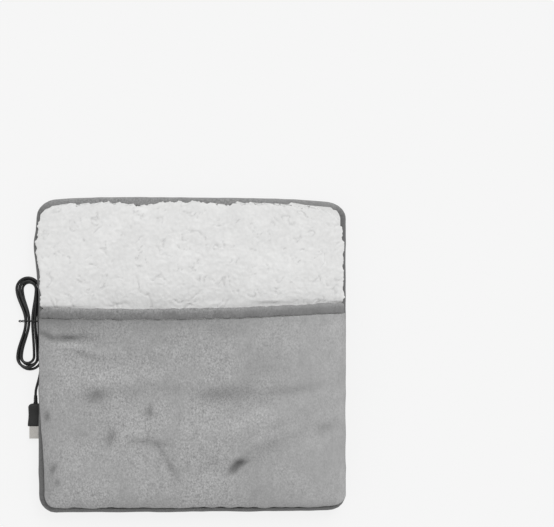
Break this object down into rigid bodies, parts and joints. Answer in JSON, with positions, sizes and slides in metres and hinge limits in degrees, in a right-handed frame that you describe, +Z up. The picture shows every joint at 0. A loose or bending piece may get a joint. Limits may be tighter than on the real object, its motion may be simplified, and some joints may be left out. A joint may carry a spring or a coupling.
{
  "type": "heated foot pad",
  "caption": "Flat padded foot warmer with a plush-lined pocket that lifts at its mouth, a wire heater inside, and a thin cord tied in a hank beside it.",
  "frame": {"origin": "middle of the pad's underside, on the surface that the pad lies on", "axes": "+Z up out of the plush, +Y along the pad towards the pocket's mouth, +X across the pad, away from the cord"},
  "size_m": [0.3218, 0.305, 0.0464],
  "materials": {
    "grey_velvet": "short brushed pile",
    "band_velvet": "short brushed pile",
    "white_sherpa": "curled pile",
    "wadding": "loose fibre",
    "felt": "needled felt",
    "cover_cloth": "thin nonwoven",
    "grip_cloth": "woven with small grip dots",
    "wire_sleeve": "smooth",
    "cord_jacket": "satin",
    "moulded_black": "fine texture",
    "nickel": "satin plate",
    "gilt": "bright plate",
    "nylon_white": "smooth"
  },
  "bodies": {
    "pad": {"anti_slip_base": "grip_cloth", "edge_band": "band_velvet", "lower_wadding": "wadding", "heater_felt": "felt", "heating_wire": "wire_sleeve", "heater_cover": "cover_cloth", "upper_wadding": "wadding", "base_lining": "white_sherpa", "splice_sleeve_1": "moulded_black", "splice_sleeve_2": "moulded_black", "thermal_cutout": "nylon_white", "supply_lead_1": "wire_sleeve", "supply_lead_2": "wire_sleeve", "cord_anchor": "moulded_black", "inner_cord": "cord_jacket", "cord_lead": "cord_jacket", "cord_hank": "cord_jacket", "cord_tail": "cord_jacket", "cord_tie": "cord_jacket", "plug_body": "moulded_black", "plug_shell": "nickel", "plug_tongue": "nylon_white", "plug_contact_1": "gilt", "plug_contact_2": "gilt", "plug_contact_3": "gilt", "plug_contact_4": "gilt"},
    "pocket": {"pocket_lining": "white_sherpa", "pocket_wadding": "wadding", "pocket_front": "grey_velvet", "mouth_hem": "grey_velvet"}
  },
  "joints": [
    {"name": "pocket_opening", "type": "hinge", "parent": "pad", "child": "pocket", "pos_m": [0, -0.1471, 0.021], "axis": [1, 0, 0], "range_deg": [0, 16]}
  ]
}
